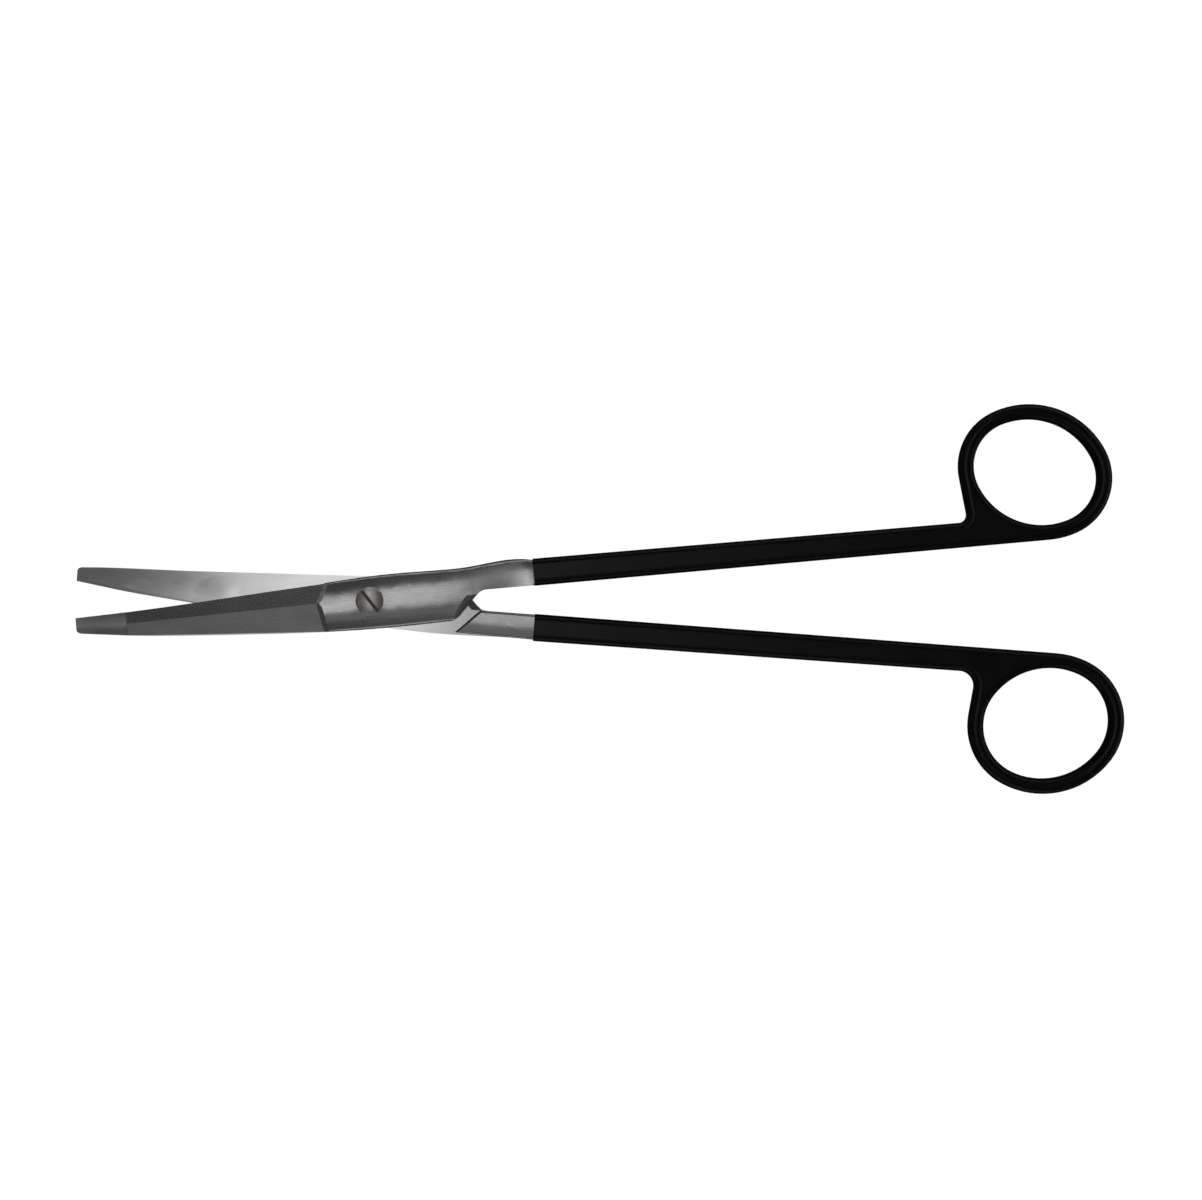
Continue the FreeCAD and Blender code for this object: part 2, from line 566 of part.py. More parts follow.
def steel_half(side):
    body = new_body(f"{side}_half")
    handle(body, side)
    bare_shank(body)

    # Underside of the lap: the shank keeps its full thickness only beyond a diagonal shoulder that leans back
    reach = (sizes["box_end_reach"] + sizes["shoulder_gap"]) * math.sqrt(2)
    reach_term = "(dims.box_end_reach + dims.shoulder_gap) * sqrt(2)"
    lean = (sizes["cutter_height"] + sizes["lap_clearance"]) * math.tan(rad(sizes["shoulder_lean"]))
    lean_term = "(dims.cutter_height + dims.lap_clearance) * tan(dims.shoulder_lean)"
    margin = sizes["shank_width"]
    levels = []
    for name, level_term, run, run_term in (("top", "dims.lap_clearance", 0.0, "0"),
                                            ("bottom", "-dims.cutter_height", lean, lean_term)):
        lap = new_sketch(body, f"{body.Label}_lap_{name}", "XY_Plane")
        lap.setExpression(".AttachmentOffset.Base.z", level_term)
        polygon(lap, [
            (0.0, -margin, "0", "-dims.shank_width"),
            (reach + margin + run, -margin, f"{reach_term} + dims.shank_width + {run_term}", "-dims.shank_width"),
            (reach - 2 * margin + run, 2 * margin, f"{reach_term} - 2 * dims.shank_width + {run_term}",
             "2 * dims.shank_width"),
            (0.0, 2 * margin, "0", "2 * dims.shank_width"),
        ])
        levels.append(lap)
    document.recompute()
    loft(body, f"{body.Label}_lap", "Subtractive", levels, ruled=True)

    stations = [section_sketch(body, side, name) for name in sections]
    loft(body, f"{body.Label}_blade_and_box", "Additive", stations)
    tip_corner(body, side)
    box_end(body)
    grind(body, side)
    hollow(body, side)
    if side == "front":
        through = [("bore", "screw_shank_diameter", "bore_clearance", None),
                   ("head_seat", "screw_head_diameter", "seat_clearance", "seat_depth_z")]
    else:
        through = [("thread_bore", "screw_thread_diameter", "thread_clearance", None)]
    for name, diameter, clearance, floor in through:
        round_hole(body, name, diameter, clearance, floor)
    return body


def box_end(body):
    # Outline of the box's rear end and the crotch: along the spine wall, round the corner, up the diagonal,
    # round the crotch and out along the shank's inner edge
    slant = sizes["box_end_slant"]
    spine_y = sizes["box_middle_spine"]
    inner_y = sizes["centre_gap"]
    reach = sizes["box_end_reach"]
    corner_radius, crotch_radius = sizes["box_corner_radius"], sizes["crotch_radius"]
    sine, cosine, tangent = math.sin(rad(slant)), math.cos(rad(slant)), math.tan(rad(slant))
    half_turn = math.tan(rad(slant / 2))
    low_x = (reach + spine_y * cosine) / sine
    high_x = (reach + inner_y * cosine) / sine
    corner_start = point(low_x - corner_radius * half_turn, spine_y)
    corner_end = point(low_x + corner_radius * half_turn * cosine, spine_y + corner_radius * half_turn * sine)
    crotch_start = point(high_x - crotch_radius * half_turn * cosine, inner_y - crotch_radius * half_turn * sine)
    crotch_end = point(high_x + crotch_radius * half_turn, inner_y)
    below = spine_y - sizes["cutter_margin"]
    beyond = sizes["coat_start_x"]

    sketch = new_sketch(body, f"{body.Label}_box_end_plan", "XY_Plane")
    sketch.addGeometry(line(point(corner_start.x, below), corner_start), False)
    corner_centre = point(corner_start.x, spine_y + corner_radius)
    sketch.addGeometry(arc(corner_centre, corner_radius, 270, 270 + slant), False)
    sketch.addGeometry(line(corner_end, crotch_start), False)
    sketch.addGeometry(arc(point(crotch_end.x, inner_y - crotch_radius), crotch_radius, 90, 90 + slant), False)
    sketch.addGeometry(line(crotch_end, point(beyond, inner_y)), False)
    sketch.addGeometry(line(point(beyond, inner_y), point(beyond, below)), False)
    sketch.addGeometry(line(point(beyond, below), point(corner_start.x, below)), False)
    wall, corner, diagonal, crotch, inner_edge, far, bottom = range(7)
    hold(sketch, "Perpendicular", wall, 2, corner, 1)
    hold(sketch, "Tangent", corner, 2, diagonal, 1)
    hold(sketch, "Tangent", diagonal, 2, crotch, 2)
    hold(sketch, "Tangent", crotch, 1, inner_edge, 1)
    hold(sketch, "Coincident", inner_edge, 2, far, 1)
    hold(sketch, "Coincident", far, 2, bottom, 1)
    hold(sketch, "Coincident", bottom, 2, wall, 1)
    hold(sketch, "Vertical", wall)
    hold(sketch, "Vertical", far)
    hold(sketch, "Horizontal", bottom)
    hold(sketch, "Horizontal", inner_edge)
    low_term = "(dims.box_end_reach + dims.box_middle_spine * cos(dims.box_end_slant)) / sin(dims.box_end_slant)"
    place_point(sketch, corner, 1, corner_start.x, spine_y,
                f"{low_term} - dims.box_corner_radius * tan(dims.box_end_slant / 2)", "dims.box_middle_spine")
    bind(sketch, Sketcher.Constraint("Radius", corner, corner_radius), "dims.box_corner_radius")
    bind(sketch, Sketcher.Constraint("Radius", crotch, crotch_radius), "dims.crotch_radius")
    bind(sketch, Sketcher.Constraint("Angle", diagonal, rad(slant)), "dims.box_end_slant")
    place_point(sketch, far, 1, beyond, inner_y, "dims.coat_start_x", "dims.centre_gap")
    bind(sketch, Sketcher.Constraint("DistanceY", -1, 1, bottom, 2, below),
         "dims.box_middle_spine - dims.cutter_margin")
    document.recompute()
    pocket_through(body, f"{body.Label}_box_end", sketch, reverse=True)

    # Leaning cuts between two levels: the crown is bevelled down to the diagonal, and so is the lap face
    far_y = crotch_start.y
    far_y_term = "dims.centre_gap - dims.crotch_radius * tan(dims.box_end_slant / 2) * sin(dims.box_end_slant)"
    diagonal_bevel(body, "box_end_bevel", far_y, far_y_term,
                   [("dims.box_end_bevel_low", 0.0, "0"),
                    ("dims.box_end_bevel_high", sizes["box_end_bevel_run"], "dims.box_end_bevel_run")])
    diagonal_bevel(body, "crotch_bevel", inner_y, "dims.centre_gap",
                   [("dims.lap_clearance", sizes["crotch_bevel_run"], "dims.crotch_bevel_run"),
                    ("dims.lap_clearance + dims.crotch_bevel_depth", 0.0, "0")])


def diagonal_bevel(body, name, far_y, far_y_term, levels):
    # Each level gives its height and how far the cut runs in from the diagonal
    sine, cosine = math.sin(rad(sizes["box_end_slant"])), math.cos(rad(sizes["box_end_slant"]))
    near_y = sizes["box_middle_spine"] - sizes["cutter_margin"]
    near_y_term = "dims.box_middle_spine - dims.cutter_margin"
    near_x = (sizes["box_end_reach"] + near_y * cosine) / sine
    far_x = (sizes["box_end_reach"] + far_y * cosine) / sine
    beyond = sizes["coat_start_x"]
    diagonal_term = "(dims.box_end_reach + ({}) * cos(dims.box_end_slant)) / sin(dims.box_end_slant)"
    near_x_term, far_x_term = diagonal_term.format(near_y_term), diagonal_term.format(far_y_term)
    plans = []
    for number, (level_term, run, run_term) in enumerate(levels, start=1):
        plan = new_sketch(body, f"{body.Label}_{name}_plan_{number}", "XY_Plane")
        plan.setExpression(".AttachmentOffset.Base.z", level_term)
        polygon(plan, [
            (near_x - run, near_y, f"{near_x_term} - {run_term}", near_y_term),
            (beyond, near_y, "dims.coat_start_x", near_y_term),
            (beyond, far_y, "dims.coat_start_x", far_y_term),
            (far_x - run, far_y, f"{far_x_term} - {run_term}", far_y_term),
        ])
        plans.append(plan)
    document.recompute()
    loft(body, f"{body.Label}_{name}", "Subtractive", plans, ruled=True)


def hollow(body, side):
    # Shallow hollow along the inner face, between a land along the spine and one along the cutting edge
    depth = sizes["hollow_depth"]
    floor = sizes["lap_clearance"]

    def segment(name, along_term, section):
        low_name = own(side, f"{section}_spine")
        high_name = own(side, f"{section}_edge")
        low = sizes[low_name] + sizes["hollow_spine_land"]
        high = sizes[high_name] - sizes["hollow_edge_land"]
        half = (high - low) / 2
        radius = (half ** 2 + depth ** 2) / (2 * depth)
        middle = (high + low) / 2
        opening = math.degrees(math.asin(half / radius))
        sketch = new_sketch(body, f"{body.Label}_{name}", "YZ_Plane")
        sketch.setExpression(".AttachmentOffset.Base.z", f"dims.{along_term}")
        sketch.addGeometry(line(point(low, floor), point(high, floor)), False)
        sketch.addGeometry(arc(point(middle, floor + depth - radius), radius, 90 - opening, 90 + opening), False)
        hold(sketch, "Coincident", 0, 2, 1, 1)
        hold(sketch, "Coincident", 1, 2, 0, 1)
        hold(sketch, "Horizontal", 0)
        low_term = f"dims.{low_name} + dims.hollow_spine_land"
        high_term = f"dims.{high_name} - dims.hollow_edge_land"
        half_term = f"(({high_term} - {low_term}) / 2)"
        place_point(sketch, 0, 1, low, floor, low_term, "dims.lap_clearance")
        bind(sketch, Sketcher.Constraint("DistanceX", -1, 1, 0, 2, high), high_term)
        bind(sketch, Sketcher.Constraint("Radius", 1, radius),
             f"({half_term} ^ 2 + dims.hollow_depth ^ 2) / (2 * dims.hollow_depth)")
        return sketch

    before = body.Shape.Volume
    feature = loft(body, f"{body.Label}_hollow_grind", "Subtractive",
                   [segment("hollow_start", "hollow_start_x", "tip"),
                    segment("hollow_middle", "mid_blade_along", "mid_blade"),
                    segment("hollow_end", "hollow_end_x", "box_front")])
    if feature.Shape.Volume >= before:
        raise RuntimeError("the hollow grind cuts nothing")


def tip_corner(body, side):
    # The squared tip is rounded at its spine corner
    radius = sizes["tip_corner_radius"]
    x = sizes["tip_along"]
    spine_name = own(side, "tip_spine")
    y = sizes[spine_name]
    sketch = new_sketch(body, f"{body.Label}_tip_corner_plan", "XY_Plane")
    sketch.addGeometry(arc(point(x + radius, y + radius), radius, 180, 270), False)
    sketch.addGeometry(line(point(x + radius, y), point(x + radius, y - radius)), False)
    sketch.addGeometry(line(point(x + radius, y - radius), point(x - radius, y - radius)), False)
    sketch.addGeometry(line(point(x - radius, y - radius), point(x - radius, y + radius)), False)
    sketch.addGeometry(line(point(x - radius, y + radius), point(x, y + radius)), False)
    for first, second in ((1, 2), (2, 3), (3, 4)):
        hold(sketch, "Coincident", first, 2, second, 1)
    hold(sketch, "Perpendicular", 0, 2, 1, 1)
    hold(sketch, "Perpendicular", 4, 2, 0, 1)
    x_term, y_term, radius_term = "dims.tip_along", f"dims.{spine_name}", "dims.tip_corner_radius"
    place_point(sketch, 0, 3, x + radius, y + radius, f"{x_term} + {radius_term}", f"{y_term} + {radius_term}")
    bind(sketch, Sketcher.Constraint("Radius", 0, radius), radius_term)
    hold(sketch, "Vertical", 1)
    hold(sketch, "Horizontal", 2)
    hold(sketch, "Vertical", 3)
    hold(sketch, "Horizontal", 4)
    bind(sketch, Sketcher.Constraint("DistanceX", 3, 1, 0, 3, 2 * radius), f"2 * {radius_term}")
    bind(sketch, Sketcher.Constraint("DistanceY", 3, 1, 0, 3, 2 * radius), f"2 * {radius_term}")
    document.recompute()
    pocket_through(body, f"{body.Label}_tip_corner", sketch, reverse=True)


def round_hole(body, name, diameter_name, clearance_name, floor_name):
    # Round hole about the pivot axis with the named clearance all round, from a floor or right through
    radius = sizes[diameter_name] / 2 + sizes[clearance_name]
    sketch = new_sketch(body, f"{body.Label}_{name}_circle", "XY_Plane")
    sketch.addGeometry(Part.Circle(point(0, 0), FreeCAD.Vector(0, 0, 1), radius), False)
    hold(sketch, "Coincident", 0, 3, -1, 1)
    bind(sketch, Sketcher.Constraint("Radius", 0, radius), f"dims.{diameter_name} / 2 + dims.{clearance_name}")
    if floor_name:
        sketch.setExpression(".AttachmentOffset.Base.z", f"dims.{floor_name}")
    document.recompute()
    pocket_through(body, f"{body.Label}_{name}", sketch, reverse=True)


def coating(side):
    # Skin over shank and ring: the thicker bow with the steel bow taken out of it
    skin = new_body(f"{side}_handle_coating")
    handle(skin, side, coat=True)
    core = new_body(f"{side}_handle_core")
    handle(core, side)
    cut = skin.newObject("PartDesign::Boolean", f"{skin.Label}_hollow")
    cut.Type = "Cut"
    cut.setObjects([core])
    document.recompute()
    return skin


def pivot_screw():
    # Turned about the pivot axis, from the flat tail up: thread, bearing shank, rim and dome of the head
    body = new_body("pivot_screw")
    thread = sizes["screw_thread_diameter"] / 2
    shank = sizes["screw_shank_diameter"] / 2
    head = sizes["screw_head_diameter"] / 2
    lap = sizes["lap_clearance"]
    tail_z = -sizes["parting_height"]
    head_z = sizes["seat_depth_z"] + sizes["head_lift"]
    rim_z = head_z + sizes["screw_head_rim"]
    dome = sizes["screw_head_dome"]
    dome_radius = (head ** 2 + dome ** 2) / (2 * dome)
    dome_centre = rim_z + dome - dome_radius
    opening = math.degrees(math.atan2(rim_z - dome_centre, head))
    sketch = new_sketch(body, "pivot_screw_profile", "XZ_Plane")
    corners = [point(0, tail_z), point(thread, tail_z), point(thread, -lap), point(shank, -lap),
               point(shank, head_z), point(head, head_z), point(head, rim_z)]
    for first, second in zip(corners, corners[1:]):
        sketch.addGeometry(line(first, second), False)
    sketch.addGeometry(arc(point(0, dome_centre), dome_radius, opening, 90), False)
    sketch.addGeometry(line(point(0, rim_z + dome), corners[0]), False)
    tail, thread_wall, step, shank_wall, seat, rim, crown, axis = range(8)
    for index in range(axis):
        hold(sketch, "Coincident", index, 2, index + 1, 1)
    hold(sketch, "Coincident", axis, 2, tail, 1)
    for index in (tail, step, seat):
        hold(sketch, "Horizontal", index)
    for index in (thread_wall, shank_wall, rim, axis):
        hold(sketch, "Vertical", index)
    head_term = "dims.seat_depth_z + dims.head_lift"
    place_point(sketch, tail, 1, 0.0, tail_z, "0", "-dims.parting_height")
    bind(sketch, Sketcher.Constraint("DistanceX", -1, 1, tail, 2, thread), "dims.screw_thread_diameter / 2")
    place_point(sketch, step, 2, shank, -lap, "dims.screw_shank_diameter / 2", "-dims.lap_clearance")
    place_point(sketch, seat, 2, head, head_z, "dims.screw_head_diameter / 2", head_term)
    bind(sketch, Sketcher.Constraint("DistanceY", -1, 1, rim, 2, rim_z), f"{head_term} + dims.screw_head_rim")
    bind(sketch, Sketcher.Constraint("DistanceY", -1, 1, crown, 2, rim_z + dome),
         f"{head_term} + dims.screw_head_rim + dims.screw_head_dome")
    bind(sketch, Sketcher.Constraint("DistanceX", -1, 1, crown, 3, 0.0), "0")
    turned = body.newObject("PartDesign::Revolution", "pivot_screw_turned")
    turned.Profile = sketch
    turned.ReferenceAxis = (sketch, ["V_Axis"])
    turned.Angle = 360
    document.recompute()

    # Screwdriver slot across the head
    slot = new_sketch(body, "pivot_screw_slot_plan", "XY_Plane")
    half_width = sizes["screw_slot_width"] / 2
    slot.AttachmentOffset = FreeCAD.Placement(
        FreeCAD.Vector(0, 0, rim_z + dome - sizes["screw_slot_depth"]),
        FreeCAD.Rotation(FreeCAD.Vector(0, 0, 1), -sizes["screw_slot_angle"]))
    slot.setExpression(".AttachmentOffset.Base.z",
                       f"{head_term} + dims.screw_head_rim + dims.screw_head_dome - dims.screw_slot_depth")
    slot.setExpression(".AttachmentOffset.Rotation.Angle", "-dims.screw_slot_angle")
    width_term = "dims.screw_slot_width / 2"
    reach_term = "dims.screw_head_diameter"
    polygon(slot, [
        (-2 * head, -half_width, f"-{reach_term}", f"-{width_term}"),
        (2 * head, -half_width, reach_term, f"-{width_term}"),
        (2 * head, half_width, reach_term, width_term),
        (-2 * head, half_width, f"-{reach_term}", width_term),
    ])
    pocket_through(body, "pivot_screw_slot", slot, reverse=True)
    return body


def place(body, swing, turned_over):
    # Lifts a piece to the parting plane, turned over or not, and swings it about the pivot
    lift = FreeCAD.Vector(0, 0, sizes["parting_height"])
    turn = FreeCAD.Rotation(FreeCAD.Vector(0, 0, 1), swing)
    flip = FreeCAD.Rotation(FreeCAD.Vector(1, 0, 0), turned_over)
    body.Placement = FreeCAD.Placement(lift, turn.multiply(flip))


# Front half face up, rear half turned over, each swung out to the resting angle
rest_angle = sizes["rest_angle"]
parts = []
for side, swing, turned_over in (("front", rest_angle, 0), ("rear", -rest_angle, 180)):
    for body in (steel_half(side), coating(side)):
        place(body, swing, turned_over)
        parts.append(body)
screw = pivot_screw()
place(screw, 0, 0)
parts.append(screw)
document.recompute()

for item in document.Objects:
    if any(state in item.State for state in ("Invalid", "Error")):
        raise RuntimeError(f"{item.Label} failed")
for body in parts:
    if body.Shape.isNull() or not body.Shape.isValid():
        raise RuntimeError(f"{body.Label} has no valid shape")
for body in parts:
    body.Shape.exportStep(f"parts/{body.Label}.step")
    print(body.Label, round(body.Shape.Volume, 2), "mm3", len(body.Shape.Solids), "solid")
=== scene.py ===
import math
import bpy
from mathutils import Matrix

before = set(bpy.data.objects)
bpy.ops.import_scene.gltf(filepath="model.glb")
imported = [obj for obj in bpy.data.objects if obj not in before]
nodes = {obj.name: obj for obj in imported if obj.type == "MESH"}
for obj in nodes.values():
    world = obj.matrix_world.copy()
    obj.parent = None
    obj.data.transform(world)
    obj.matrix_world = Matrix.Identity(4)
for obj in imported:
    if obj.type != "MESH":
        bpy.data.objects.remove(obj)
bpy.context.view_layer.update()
print("frame loaded:", ", ".join(sorted(nodes)))


# Node helpers

noise = {
    "colourLow": 0.25,
    "colourHigh": 0.75,
    "low": 0.3,  # most of the noise lies between these two
    "high": 0.7,
}


def newMaterial(name):
    material = bpy.data.materials.new(name)
    material.use_nodes = True
    tree = material.node_tree
    tree.nodes.clear()
    output = tree.nodes.new("ShaderNodeOutputMaterial")
    return material, tree, output


def addNode(tree, kind, **settings):
    node = tree.nodes.new(kind)
    for name, value in settings.items():
        setattr(node, name, value)
    return node


def mathNode(tree, operation, first, second=None, clamp=False):
    node = addNode(tree, "ShaderNodeMath", operation=operation, use_clamp=clamp)
    for socket, value in zip(node.inputs, (first, second)):
        if value is None:
            continue
        if isinstance(value, (int, float)):
            socket.default_value = value
        else:
            tree.links.new(value, socket)
    return node.outputs[0]


def mappedRange(tree, value, fromLow, fromHigh, toLow, toHigh):
    node = addNode(tree, "ShaderNodeMapRange", clamp=True)
    tree.links.new(value, node.inputs["Value"])
    for socket, number in zip(node.inputs[1:5], (fromLow, fromHigh, toLow, toHigh)):
        socket.default_value = number
    return node.outputs["Result"]


def stretchedNoise(tree, coordinates, turn, scale, grading):
    # noise drawn out along the piece; turn lines it up with the half
    mapping = addNode(tree, "ShaderNodeMapping")
    mapping.inputs["Rotation"].default_value = (0, 0, math.radians(turn))
    mapping.inputs["Scale"].default_value = scale
    tree.links.new(coordinates, mapping.inputs["Vector"])
    detail, roughness = grading
    pattern = addNode(tree, "ShaderNodeTexNoise")
    pattern.inputs["Scale"].default_value = 1
    pattern.inputs["Detail"].default_value = detail
    pattern.inputs["Roughness"].default_value = roughness
    tree.links.new(mapping.outputs["Vector"], pattern.inputs["Vector"])
    return pattern.outputs["Fac"]


def colourBetween(tree, factor, low, high):
    ramp = addNode(tree, "ShaderNodeValToRGB")
    ramp.color_ramp.elements[0].color = (*low, 1)
    ramp.color_ramp.elements[1].color = (*high, 1)
    ramp.color_ramp.elements[0].position = noise["colourLow"]
    ramp.color_ramp.elements[1].position = noise["colourHigh"]
    tree.links.new(factor, ramp.inputs["Fac"])
    return ramp.outputs["Color"]


def bumpFrom(tree, height, strength, distance):
    bump = addNode(tree, "ShaderNodeBump")
    bump.inputs["Strength"].default_value = strength
    bump.inputs["Distance"].default_value = distance
    tree.links.new(height, bump.inputs["Height"])
    return bump.outputs["Normal"]


def paint(name, material):
    mesh = nodes[name].data
    mesh.materials.clear()
    mesh.materials.append(material)


# Satin steel of the two halves

steel = {
    "darkTone": (0.50, 0.49, 0.485),
    "paleTone": (0.60, 0.59, 0.59),
    "satinRoughness": 0.27,
    "lapRoughness": 0.13,  # the inner faces are ground finer
    # painted shade: this tone darkens the lap faces
    "lapShadeTone": (0.84, 0.84, 0.86),
    "roughnessSpread": 0.03,
    "lapSpread": 0.01,
    "grainTurn": 4.7,  # degrees that each half is turned from the centre line at rest
    "grainScale": (260, 9000, 9000),  # fine lines along the half
    "grainGrading": (3, 0.6),  # detail and roughness of the noise
    "cloudScale": (90, 260, 260),
    "cloudGrading": (2, 0.5),
    "grainDepth": 0.000004,
    "grainStrength": 0.14,
    "partingHeight": 0.003,
    "lapDepth": 0.00025,
    "lapFade": 1.4,
    "lapLevel": (0.93, 0.97),
}


def satinSteel(name, turn):
    material, tree, output = newMaterial(name)
    links = tree.links
    shader = addNode(tree, "ShaderNodeBsdfPrincipled")
    shader.inputs["Metallic"].default_value = 1
    links.new(shader.outputs["BSDF"], output.inputs["Surface"])
    place = addNode(tree, "ShaderNodeTexCoord")
    spot = place.outputs["Object"]
    grain = stretchedNoise(tree, spot, turn, steel["grainScale"], steel["grainGrading"])
    cloud = stretchedNoise(tree, spot, turn, steel["cloudScale"], steel["cloudGrading"])

    # the lap faces lie at the parting height and look straight up or down
    split = addNode(tree, "ShaderNodeSeparateXYZ")
    links.new(spot, split.inputs["Vector"])
    facing = addNode(tree, "ShaderNodeSeparateXYZ")
    links.new(place.outputs["Normal"], facing.inputs["Vector"])
    offset = mathNode(tree, "SUBTRACT", split.outputs["Z"], steel["partingHeight"])
    height = mathNode(tree, "ABSOLUTE", offset)
    near = mappedRange(tree, height, steel["lapDepth"], steel["lapDepth"] * steel["lapFade"], 1, 0)
    level = mappedRange(tree, mathNode(tree, "ABSOLUTE", facing.outputs["Z"]), *steel["lapLevel"], 0, 1)
    lapFace = mathNode(tree, "MULTIPLY", near, level)
    # painted shade: the base colour of the lap faces is darkened by a multiplied tone; their finer grinding
    # shows only in the roughness
    lapShaded = addNode(tree, "ShaderNodeMix", data_type="RGBA", blend_type="MULTIPLY")
    links.new(lapFace, lapShaded.inputs["Factor"])
    links.new(colourBetween(tree, cloud, steel["darkTone"], steel["paleTone"]), lapShaded.inputs[6])
    lapShaded.inputs[7].default_value = (*steel["lapShadeTone"], 1)
    links.new(lapShaded.outputs[2], shader.inputs["Base Color"])
    base = mappedRange(tree, lapFace, 0, 1, steel["satinRoughness"], steel["lapRoughness"])
    wide = mappedRange(tree, lapFace, 0, 1, steel["roughnessSpread"], steel["lapSpread"])
    lines = mappedRange(tree, grain, noise["low"], noise["high"], -1, 1)
    spread = mathNode(tree, "MULTIPLY", lines, wide)
    links.new(mathNode(tree, "ADD", base, spread), shader.inputs["Roughness"])
    links.new(bumpFrom(tree, grain, steel["grainStrength"], steel["grainDepth"]), shader.inputs["Normal"])
    return material


paint("front_half", satinSteel("satinSteelFront", -steel["grainTurn"]))
paint("rear_half", satinSteel("satinSteelRear", steel["grainTurn"]))
print("steel halves finished")


# Black coating on shanks and rings

coating = {
    "deepTone": (0.0022, 0.0022, 0.0026),
    "wornTone": (0.0045, 0.0045, 0.0052),
    "roughness": 0.34,
    "roughnessSpread": 0.05,
    "specular": 0.3,
    "speckScale": (2600, 2600, 2600),
    "speckGrading": (2, 0.5),
    "cloudScale": (120, 120, 120),
    "cloudGrading": (3, 0.5),
    "speckDepth": 0.00001,
    "speckStrength": 0.12,
}


def blackCoating():
    material, tree, output = newMaterial("blackCoating")
    links = tree.links
    shader = addNode(tree, "ShaderNodeBsdfPrincipled")
    shader.inputs["Specular IOR Level"].default_value = coating["specular"]
    links.new(shader.outputs["BSDF"], output.inputs["Surface"])
    place = addNode(tree, "ShaderNodeTexCoord")
    spot = place.outputs["Object"]
    speck = stretchedNoise(tree, spot, 0, coating["speckScale"], coating["speckGrading"])
    cloud = stretchedNoise(tree, spot, 0, coating["cloudScale"], coating["cloudGrading"])
    colour = colourBetween(tree, cloud, coating["deepTone"], coating["wornTone"])
    links.new(colour, shader.inputs["Base Color"])
    smooth = coating["roughness"] - coating["roughnessSpread"]
    dull = coating["roughness"] + coating["roughnessSpread"]
    links.new(mappedRange(tree, cloud, noise["low"], noise["high"], smooth, dull), shader.inputs["Roughness"])
    links.new(bumpFrom(tree, speck, coating["speckStrength"], coating["speckDepth"]), shader.inputs["Normal"])
    return material


coatFinish = blackCoating()
paint("front_handle_coating", coatFinish)
paint("rear_handle_coating", coatFinish)
print("handle coating finished")


# Pivot screw, turned from bar

screw = {
    "darkTone": (0.39, 0.375, 0.35),
    "paleTone": (0.53, 0.515, 0.49),
    "roughness": 0.3,
    "roughnessSpread": 0.06,
    "turningScale": 2400,
    "turningWander": 0.6,
    "turningDepth": 0.000006,
    "turningStrength": 0.3,
    "cloudScale": (900, 900, 900),
    "cloudGrading": (3, 0.5),
    "slotFloorLow": 0.0051,
    "slotFloorHigh": 0.0053,  # below the rim, so only the slot's floor lies between the two
    # painted shade on the floor of the slot
    "slotShadeTone": (0.24, 0.22, 0.2),
    "slotRoughness": 0.6,
    "slotLevel": 0.9,
}


def turnedSteel():
    material, tree, output = newMaterial("turnedSteel")
    links = tree.links
    shader = addNode(tree, "ShaderNodeBsdfPrincipled")
    shader.inputs["Metallic"].default_value = 1
    links.new(shader.outputs["BSDF"], output.inputs["Surface"])
    place = addNode(tree, "ShaderNodeTexCoord")
    rings = addNode(tree, "ShaderNodeTexWave", wave_type="RINGS", rings_direction="Z")
    rings.inputs["Scale"].default_value = screw["turningScale"]
    rings.inputs["Distortion"].default_value = screw["turningWander"]
    spot = place.outputs["Object"]
    links.new(spot, rings.inputs["Vector"])
    cloud = stretchedNoise(tree, spot, 0, screw["cloudScale"], screw["cloudGrading"])
    turned = colourBetween(tree, cloud, screw["darkTone"], screw["paleTone"])

    # the floor of the slot gets painted shade, a darker colour, and is unpolished
    split = addNode(tree, "ShaderNodeSeparateXYZ")
    links.new(spot, split.inputs["Vector"])
    facing = addNode(tree, "ShaderNodeSeparateXYZ")
    links.new(place.outputs["Normal"], facing.inputs["Vector"])
    above = mathNode(tree, "GREATER_THAN", split.outputs["Z"], screw["slotFloorLow"])
    below = mathNode(tree, "LESS_THAN", split.outputs["Z"], screw["slotFloorHigh"])
    level = mathNode(tree, "GREATER_THAN", facing.outputs["Z"], screw["slotLevel"])
    slotFloor = mathNode(tree, "MULTIPLY", mathNode(tree, "MULTIPLY", above, below), level)
    mixed = addNode(tree, "ShaderNodeMix", data_type="RGBA")
    links.new(slotFloor, mixed.inputs["Factor"])
    links.new(turned, mixed.inputs[6])
    mixed.inputs[7].default_value = (*screw["slotShadeTone"], 1)
    links.new(mixed.outputs[2], shader.inputs["Base Color"])
    smooth = screw["roughness"] - screw["roughnessSpread"]
    dull = screw["roughness"] + screw["roughnessSpread"]
    polish = mappedRange(tree, rings.outputs["Fac"], 0, 1, smooth, dull)
    slotPolish = mathNode(tree, "MULTIPLY", slotFloor, screw["slotRoughness"])
    links.new(mathNode(tree, "MAXIMUM", polish, slotPolish), shader.inputs["Roughness"])
    links.new(bumpFrom(tree, rings.outputs["Fac"], screw["turningStrength"], screw["turningDepth"]),
              shader.inputs["Normal"])
    return material


paint("pivot_screw", turnedSteel())
print("screw finished")


# Floor: white to the camera and in reflections, and it still takes the shadow

floor = {
    "size": 8.0,
    "height": -0.0001,
    "glow": 0.94,
    "tone": (0.9, 0.9, 0.9),
}


def seenDirectly(tree):
    # 1 for camera, glossy and transmission rays
    path = addNode(tree, "ShaderNodeLightPath")
    first = mathNode(tree, "ADD", path.outputs["Is Camera Ray"], path.outputs["Is Glossy Ray"])
    return mathNode(tree, "ADD", first, path.outputs["Is Transmission Ray"], clamp=True)


